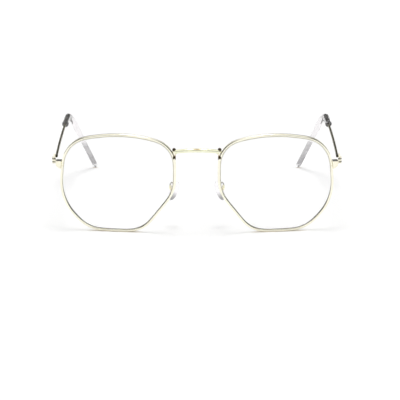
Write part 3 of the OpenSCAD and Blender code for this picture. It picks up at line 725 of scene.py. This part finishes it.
# ---------------------------------------------------------------- bridge, posts, beads and solder
def make_bridge():
    """arched wire that grows a little where it is brazed to the bars"""
    inside, fillet, growth = 0.35, 1.1, 0.04
    half = math.asin((BAR.x - inside) / BRIDGE_R)
    count = 72
    points, radii = [], []
    for i in range(count + 1):
        a = -half + 2 * half * i / count
        h = BRIDGE_SAG - BRIDGE_R + BRIDGE_R * math.cos(a)
        y = BAR.y - math.sin(BRIDGE_LAY) * h
        z = BAR.z + math.cos(BRIDGE_LAY) * h
        points.append(Vector((BRIDGE_R * math.sin(a), y, z)))
        near = max(0.0, 1 - (half - abs(a)) * BRIDGE_R / fillet)
        radii.append(BRIDGE_WIRE_R * (1 + growth * near * near))
    verts, faces = in_front(rod(points, radii, 28), "left")
    piece("bridge_wire", verts, faces, "front", bridge_gold, ["bridge"])


def make_post(side):
    """upright bar with a soft lower tip and a turned neck under the bead"""
    low, r = POST_LOW, POST_R
    profile = [(0.02, low), (r * 0.35, low + 0.03), (r * 0.65, low + 0.12)]
    profile += [(r * 0.86, low + 0.28), (r * 0.96, low + 0.5), (r, low + 0.8)]
    profile += [(r, -1.4), (r * 1.03, -1.1), (r * 1.03, 0), (r * 1.01, 0.2)]
    profile += [(r * 0.96, 0.32), (r * 0.86, 0.38), (r * 0.84, POST_TOP)]
    verts, faces = in_front(turned(profile, BAR), side)
    name, node = f"bridge_post_{side}", f"bridge_bar_{side}"
    piece(name, verts, faces, "front", post_metal, [node], sharp=45)


def make_bead(side):
    """dark ball with a flat foot that sits on the bar's neck"""
    foot = 0.62
    profile = [(0.4, 0.47)]
    for k in range(15):
        a = -math.pi / 2 + foot + (math.pi - foot) * k / 14
        profile.append((BEAD_R * math.cos(a), BEAD_MIDDLE + BEAD_R * math.sin(a)))
    verts, faces = in_front(turned(profile, BAR), side)
    piece(f"bead_{side}", verts, faces, "front", bead_metal, [f"bridge_bead_{side}"], sharp=50)


def solder(name, side, centre, half, axis, seed, material):
    """a small run of solder: a lumpy drop, longest along its axis"""
    lumpiness, lump_scale, taper_share = 0.09, 1.7, 0.25
    bm = bmesh.new()
    bmesh.ops.create_icosphere(bm, subdivisions=4, radius=1.0)
    axis = Vector(axis).normalized()
    n = axis.cross(Vector((0, 1, 0)) if abs(axis.y) < 0.8 else Vector((1, 0, 0))).normalized()
    b = axis.cross(n)
    verts = []
    for v in bm.verts:
        lump = 1 + lumpiness * noise.noise(v.co * lump_scale + Vector((seed, seed * 0.7, 0)))
        taper = 1 - taper_share * v.co.z**2
        thick = taper * (n * v.co.x * half[1] + b * v.co.y * half[2])
        verts.append(Vector(centre) + lump * (axis * v.co.z * half[0] + thick))
    faces = [[v.index for v in f.verts] for f in bm.faces]
    bm.free()
    verts, faces = in_front((verts, faces), side)
    piece(name, verts, faces, "front", material, sharp=80)


# ---------------------------------------------------------------- temples
def heading(s):
    """direction of the temple at distance s from the hinge"""
    t = min(1.0, s / STRAIGHT)
    u = min(1.0, max(0.0, (s - STRAIGHT) / BEND_LENGTH))
    a = math.radians(INWARD + INWARD_WIRE * t + INWARD_BEND * u)
    b = math.radians(DOWN + BEND_DOWN * u)
    return Vector((-math.sin(a) * math.cos(b), math.cos(a) * math.cos(b), -math.sin(b)))


def temple_points(distances):
    """points of the temple path at rising distances"""
    longest_step = 0.5
    out, p, at = [], TEMPLE_START.copy(), 0.0
    for s in distances:
        count = max(1, int(math.ceil((s - at) / longest_step)))
        for k in range(count):
            p = p + heading(at + (s - at) * (k + 0.5) / count) * ((s - at) / count)
        at = s
        out.append(p.copy())
    return out


def oval_ring(centre, direction, halves, count):
    """an oval of points across the temple, from its half width and half height"""
    across = Vector((direction.y, -direction.x, 0)).normalized()
    up = across.cross(direction)
    turns = [2 * math.pi * k / count for k in range(count)]
    return [centre + across * halves[0] * math.cos(a) - up * halves[1] * math.sin(a) for a in turns]


def sleeve_half(s):
    """half width and half height of the sleeve: slimmer towards its tip, with a lip and a round nose"""
    slimmer_w, slimmer_h, lip_length, lip_share = 0.45, 0.3, 0.6, 0.86
    grow = min(1.0, max(0.0, (s - STRAIGHT) / (BEND_END + LEG * 0.6 - STRAIGHT)))
    ease = grow * grow * (3 - 2 * grow)
    into = max(0.0, s - (BEND_END + LEG - TIP_ROUND)) / TIP_ROUND
    nose = 0.03 + 0.97 * math.sqrt(max(0.0, 1 - into * into))
    lip = math.sin(min(1.0, (s - SLEEVE_START) / lip_length) * math.pi / 2)
    thin = nose * min(1.0, lip_share + (1 - lip_share) * lip)
    return ((SLEEVE_HALF - slimmer_w * ease) * thin, (SLEEVE_HALF - slimmer_h * ease) * thin)


def make_rod(side):
    """straight wire whose end stands in the sleeve's bend"""
    distances = [0.0] + [1.5 * k for k in range(1, 63)] + [STRAIGHT + 0.5 * k for k in range(0, 11)]
    points = temple_points(distances)
    verts, faces = in_front(rod(points, [TEMPLE_WIRE_R] * len(points), 24, cap=0.25), side)
    name, node = f"temple_rod_{side}", f"temple_wire_{side}"
    piece(name, verts, faces, f"temple_{side}", rod_metal_painted_dark, [node], sharp=50)


def make_sleeve(side):
    """clear sleeve over the bend, open at the front, with the bore that holds the wire"""
    sides = 36
    outer = [SLEEVE_START + 0.15 * k for k in range(5)]
    outer += [SLEEVE_START + 1 + 2 * k for k in range(9)]
    outer += [STRAIGHT + BEND_LENGTH * k / 32 for k in range(33)]
    outer += [BEND_END + (LEG - TIP_ROUND) * k / 24 for k in range(1, 25)]
    outer += [BEND_END + LEG - TIP_ROUND + TIP_ROUND * math.sin(math.pi / 2 * k / 10) for k in range(1, 11)]
    bore = [SLEEVE_START + 1.0 * k for k in range(18)]
    bore += [STRAIGHT + 0.5 * k for k in range(0, 11)] + [WIRE_END + 0.3]
    bore_half = (SLEEVE_BORE_R, SLEEVE_BORE_R)
    inner = [oval_ring(p, heading(s), bore_half, sides) for p, s in zip(temple_points(bore), bore)]
    rings = [oval_ring(p, heading(s), sleeve_half(s), sides) for p, s in zip(temple_points(outer), outer)]
    verts, faces = in_front(skin(list(reversed(inner)) + rings), side)
    name, node = f"sleeve_clear_{side}", f"temple_sleeve_{side}"
    piece(name, verts, faces, f"temple_{side}", sleeve_plastic, [node], sharp=50)


# ---------------------------------------------------------------- nose pads
# rings of the pad, from the middle of its back to the middle of its face:
# share of its width and length, and share of its thickness
PAD_LEVELS = (
    (0.06, 0.06),
    (0.3, 0.05),
    (0.55, 0.03),
    (0.74, 0.0),
    (0.86, 0.01),
    (0.93, 0.08),
    (0.975, 0.22),
    (1, 0.42),
    (0.99, 0.58),
    (0.955, 0.74),
    (0.89, 0.87),
    (0.78, 0.95),
    (0.6, 0.99),
    (0.35, 1.0),
    (0.06, 1.0),
)


def pad_turned(p):
    """a point of the flat pad, turned to the way that the pad stands at the nose"""
    x, y, z = -p[2], -p[0], p[1]
    x, y = x * math.cos(SPLAY) - y * math.sin(SPLAY), x * math.sin(SPLAY) + y * math.cos(SPLAY)
    x, z = x * math.cos(SLANT) + z * math.sin(SLANT), -x * math.sin(SLANT) + z * math.cos(SLANT)
    y, z = y * math.cos(TILT) - z * math.sin(TILT), y * math.sin(TILT) + z * math.cos(TILT)
    return Vector((x, y, z))


def make_pad(side):
    """egg-shaped soft pad with a full rounded edge and a slightly hollow back"""
    back, thick = 0.7, 1.6
    half_l, half_w, mount = 5.25, 3.2, 1.5
    egg = 0.14
    sides = 72
    rings = []
    for share, level in PAD_LEVELS:
        ring = []
        for k in range(sides):
            a = 2 * math.pi * k / sides
            p = (
                share * half_w * math.cos(a) * (1 - egg * math.sin(a)),
                share * half_l * math.sin(a) - mount,
                back + level * thick,
            )
            ring.append(PAD + pad_turned(p))
        rings.append(ring)
    verts, faces = in_front(skin(rings), side)
    name, node = f"pad_soft_{side}", f"nose_pad_{side}"
    piece(name, verts, faces, f"pad_{side}", pad_silicone, [node], sharp=60)


def make_arm(side):
    """bent wire that grows a little where it is brazed to the rim and to the pad's box"""

    def at(t):
        pts = [Vector(p) for p in PAD_WIRE]
        while len(pts) > 1:
            pts = [a.lerp(b, t) for a, b in zip(pts, pts[1:])]
        return pts[0]

    count, fillet = 64, 5
    rim_growth, box_growth = 0.1, 0.06
    points, radii = [], []
    for i in range(count + 1):
        points.append(at(i / count))
        rim_end = max(0.0, 1 - i / fillet) ** 2
        box_end = max(0.0, 1 - (count - i) / fillet) ** 2
        radii.append(PAD_WIRE_R + rim_growth * rim_end + box_growth * box_end)
    verts, faces = in_front(rod(points, radii, 20), side)
    piece(f"pad_wire_{side}", verts, faces, "front", arm_gold, [f"pad_arm_{side}"], sharp=60)


# ---------------------------------------------------------------- small fittings
# section of a hinge washer: radius, and height above its place
WASHER = ((0.47, 0.03), (0.76, 0.03), (0.79, 0.05), (0.79, 0.15), (0.76, 0.17), (0.47, 0.17), (0.47, 0.03))


def make_washers(side):
    """thin dark washers in the gaps above and below the middle knuckle"""
    for name, low in (("upper", 0.6), ("lower", -0.8)):
        verts, faces = turned([(r, low + h) for r, h in WASHER], HINGE, 48)
        # a washer has no ends, so the two fans and their middles go
        faces = [f for f in faces if len(f) == 4]
        verts, faces = in_front((verts[:-2], faces), side)
        name = f"hinge_washer_{name}_{side}"
        piece(name, verts, faces, "front", washer_metal, weld=1e-8)


# angles between faces that count as flat, as an edge to break, and as an edge that stays sharp
FLAT = math.radians(1.5)
BENT = math.radians(30)
SHARP = math.radians(40)


def refined(node, name, slot, material, bevel, segments):
    """the CAD form of a fitting with its edges broken by a bevel, in millimetres"""
    src = frame["nodes"][node]
    mesh = src.data.copy()
    mesh.name = name
    bm = bmesh.new()
    bm.from_mesh(mesh)
    bmesh.ops.remove_doubles(bm, verts=bm.verts, dist=3e-6)
    bmesh.ops.dissolve_limit(bm, angle_limit=FLAT, verts=bm.verts, edges=bm.edges)
    bent = [e for e in bm.edges if len(e.link_faces) == 2 and e.calc_face_angle(0) > BENT]
    bmesh.ops.bevel(
        bm,
        geom=bent,
        offset=bevel * MM,
        offset_type="OFFSET",
        segments=segments,
        profile=0.5,
        affect="EDGES",
        clamp_overlap=True,
    )
    bmesh.ops.recalc_face_normals(bm, faces=bm.faces)
    bm.to_mesh(mesh)
    bm.free()
    if "custom_normal" in mesh.attributes:
        mesh.attributes.remove(mesh.attributes["custom_normal"])
    mesh.shade_smooth()
    mesh.set_sharp_from_angle(angle=SHARP)
    mesh.materials.clear()
    mesh.materials.append(material)
    o = bpy.data.objects.new(name, mesh)
    bpy.context.scene.collection.objects.link(o)
    weighted = o.modifiers.new("even_light", "WEIGHTED_NORMAL")
    weighted.keep_sharp = True
    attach(o, src["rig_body"])
    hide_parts(node)


# CAD node, name of the piece, slot, material, bevel in millimetres, and its segments
FITTINGS = (
    ("endpiece", "endpiece_fine", "gold_fitting", end_metal, 0.07, 3),
    ("rim_lock_upper", "rim_lock_upper_fine", "gold_fitting", gold_fitting, 0.07, 3),
    ("rim_lock_lower", "rim_lock_lower_fine", "gold_fitting", gold_fitting, 0.07, 3),
    ("hinge_front", "hinge_front_fine", "gold_fitting", hinge_metal, 0.07, 3),
    ("hinge_temple", "hinge_temple_fine", "gold_fitting", hinge_metal, 0.07, 3),
    ("pad_box", "pad_box_fine", "gold_fitting", gold_fitting, 0.05, 3),
    ("rim_lock_screw", "rim_lock_screw_fine", "screw", screw_metal, 0.03, 2),
    ("hinge_screw", "hinge_screw_fine", "screw", satin_fitting, 0.03, 2),
    ("pad_screw", "pad_screw_fine", "screw", screw_metal, 0.03, 2),
    ("pad_insert", "pad_core", "pad_core", core_plastic, 0.05, 2),
)

# solder on the rim at the bar, the bridge wire, the end piece's plate and the pad arm:
# name, middle, half sizes, axis, seed of its lumps, and material
PLATE = from_rim((LENS_W / 2 + RIM_OUT, 0.35, 8.0))
SOLDER = (
    # the bar's solder is painted near black as shade in the crevice below the bridge wire
    ("bar", (10.3, -2.95, 36.05), (0.9, 0.5, 0.32), (-0.15, 0, 1), 1.3, solder_painted_shade),
    ("bridge", (9.25, -1.74, 37.5), (0.45, 0.3, 0.34), (1, 0, -0.8), 5.1, gold_fitting),
    ("plate", PLATE + Vector((0.02, -0.1, -0.6)), (1.5, 0.2, 0.45), (0.05, 0, 1), 2.2, gold_fitting),
    ("arm", (10.06, -1.8, 22.52), (0.3, 0.45, 0.48), (-0.13, 0.99, 0), 3.7, gold_fitting),
)

# ---------------------------------------------------------------- build every piece
make_bridge()
for side in SIDES:
    make_rim(side)
    make_lens(side)
    make_post(side)
    make_bead(side)
    make_rod(side)
    make_sleeve(side)
    make_pad(side)
    make_arm(side)
    make_washers(side)
    for node, name, *finish in FITTINGS:
        refined(f"{node}_{side}", f"{name}_{side}", *finish)
    for name, *form in SOLDER:
        solder(f"solder_{name}_{side}", side, *form)


# ---------------------------------------------------------------- floor
FLOOR_HALF = 8
FLOOR_DROP = 0.00002


def rays(tree, *kinds):
    """1 for rays of any of the kinds, and 0 for all others"""
    path = tree.nodes.new("ShaderNodeLightPath")
    found = path.outputs[kinds[0]]
    for kind in kinds[1:]:
        found = math_step(tree, "MAXIMUM", found, path.outputs[kind])
    return found


def floor_material():
    """white floor with a painted brown contact shadow where the glasses stand close over it"""
    m, tree, shader = new_material("white_floor")
    # painted contact shadow: the ambient occlusion browns the floor's colour close under the glasses
    near = tree.nodes.new("ShaderNodeAmbientOcclusion")
    near.inputs["Distance"].default_value = 0.0022
    near.samples = 12
    stops = [(0.0, (0.24, 0.175, 0.09)), (0.45, (0.6, 0.54, 0.45)), (0.85, (0.8, 0.8, 0.8))]
    tree.links.new(ramp_node(tree, near.outputs["AO"], stops), shader.inputs["Base Color"])
    shader.inputs["Roughness"].default_value = 0.9
    shader.inputs["Specular IOR Level"].default_value = 0.0
    shader.inputs["Emission Color"].default_value = (1, 1, 1, 1)
    # the camera, gloss and clear parts see a white floor, and the object isn't lit by that white;
    # the lamps fall off with distance, and the white of the floor doesn't
    coord = tree.nodes.new("ShaderNodeTexCoord")
    away = tree.nodes.new("ShaderNodeVectorMath")
    away.operation = "LENGTH"
    tree.links.new(coord.outputs["Object"], away.inputs[0])
    seen = rays(tree, "Is Camera Ray", "Is Glossy Ray", "Is Transmission Ray")
    lift = range_node(tree, away.outputs["Value"], 0.2, 0.75, 0.26, 1.4)
    tree.links.new(product(tree, seen, lift), shader.inputs["Emission Strength"])
    return m


floor_mesh = bpy.data.meshes.new("floor")
corners = [(x * FLOOR_HALF, y * FLOOR_HALF, 0) for x, y in ((-1, -1), (1, -1), (1, 1), (-1, 1))]
floor_mesh.from_pydata(corners, [], [(0, 1, 2, 3)])
floor_mesh.materials.append(floor_material())
floor = bpy.data.objects.new("floor", floor_mesh)
bpy.context.scene.collection.objects.link(floor)
floor.location.z = -FLOOR_DROP


# ---------------------------------------------------------------- surroundings
def background(tree, colour, strength):
    """light of one colour, or of a colour from a socket"""
    node = tree.nodes.new("ShaderNodeBackground")
    node.inputs["Strength"].default_value = strength
    if isinstance(colour, tuple):
        node.inputs["Color"].default_value = colour
    else:
        tree.links.new(colour, node.inputs["Color"])
    return node.outputs[0]


def mixed(tree, share, first, second):
    """the first light where the share is 0, and the second where it is 1"""
    node = tree.nodes.new("ShaderNodeMixShader")
    for i, source in enumerate((share, first, second)):
        tree.links.new(source, node.inputs[i])
    return node.outputs[0]


def make_world():
    """plain soft light on the object, white for the camera, and a room with dark parts for gloss

    Gloss and clear parts see a bright room with a low dark strip in the back wall, and with dark
    areas at both sides of the camera: low ones that start near its view, and higher ones further out.
    """
    world = bpy.data.worlds.new("studio")
    bpy.context.scene.world = world
    world.use_nodes = True
    tree = world.node_tree
    tree.nodes.clear()
    place = parts(tree, "Generated")
    rise, back = place["Z"], place["Y"]
    across = math_step(tree, "ABSOLUTE", place["X"])
    back_gap = product(
        tree,
        range_node(tree, back, 0.0, 1.0, -0.05, 0.05),
        range_node(tree, rise, 1.0, 0.0, 0.27, 0.38),
        range_node(tree, across, 1.0, 0.0, 0.22, 0.34),
    )
    side_near = product(
        tree,
        range_node(tree, rise, 1.0, 0.0, 0.28, 0.36),
        range_node(tree, across, 0.0, 1.0, 0.17, 0.24),
    )
    side_far = product(
        tree,
        range_node(tree, rise, 1.0, 0.0, 0.62, 0.74),
        range_node(tree, across, 0.0, 1.0, 0.55, 0.65),
    )
    side_gap = product(
        tree,
        math_step(tree, "MAXIMUM", side_near, side_far),
        range_node(tree, back, 1.0, 0.0, -0.3, 0.1),
    )
    gap = math_step(tree, "MAXIMUM", back_gap, side_gap)
    room = ramp_node(tree, gap, [(0.0, (1.0, 1.0, 0.99)), (1.0, (0.07, 0.07, 0.065))])
    soft = background(tree, (1, 1, 1, 1), 0.6)
    white = background(tree, (1, 1, 1, 1), 1.0)
    mirrored = rays(tree, "Is Glossy Ray", "Is Transmission Ray")
    lit = mixed(tree, mirrored, soft, background(tree, room, 1.0))
    out = tree.nodes.new("ShaderNodeOutputWorld")
    tree.links.new(mixed(tree, rays(tree, "Is Camera Ray"), lit, white), out.inputs["Surface"])


make_world()


# ---------------------------------------------------------------- lamps and camera
def area_lamp(name, at, target, size, power):
    """a round lamp that points at its target"""
    data = bpy.data.lights.new(name, "AREA")
    data.shape = "DISK"
    data.size = size
    data.energy = power
    o = bpy.data.objects.new(name, data)
    bpy.context.scene.collection.objects.link(o)
    o.location = at
    o.rotation_euler = (Vector(target) - Vector(at)).to_track_quat("-Z", "Y").to_euler()
    return o


area_lamp("lamp_overhead", (0.0, -0.1, 1.6), (0, 0, 0), 0.6, 9.0)
# gloss shows the dark parts of the room, and not the side lamps in front of them
for lamp in (
    area_lamp("lamp_left", (-1.2, -0.7, 1.1), (0, 0, 0.02), 0.9, 3.0),
    area_lamp("lamp_right", (1.2, -0.6, 1.1), (0, 0, 0.02), 0.9, 2.4),
):
    lamp.visible_glossy = False

# the camera stands a metre from the point that it is aimed at
VIEW_DOWN = math.radians(13.8)
AIM = Vector((0, -0.0621, 0.01457))
PHOTO_WIDTH = 400
SHIFT_X, SHIFT_Y = 3.1, 0.4
camera_data = bpy.data.cameras.new("camera")
camera_data.sensor_width = 36.0
camera_data.lens = 198.9
camera_data.shift_x = SHIFT_X / PHOTO_WIDTH
camera_data.shift_y = SHIFT_Y / PHOTO_WIDTH
camera_data.clip_start = 0.01
camera = bpy.data.objects.new("camera", camera_data)
bpy.context.scene.collection.objects.link(camera)
looking = Vector((0, math.cos(VIEW_DOWN), -math.sin(VIEW_DOWN)))
camera.location = AIM - looking
camera.rotation_euler = looking.to_track_quat("-Z", "Y").to_euler()
bpy.context.scene.camera = camera

bpy.context.scene.view_settings.view_transform = "Standard"
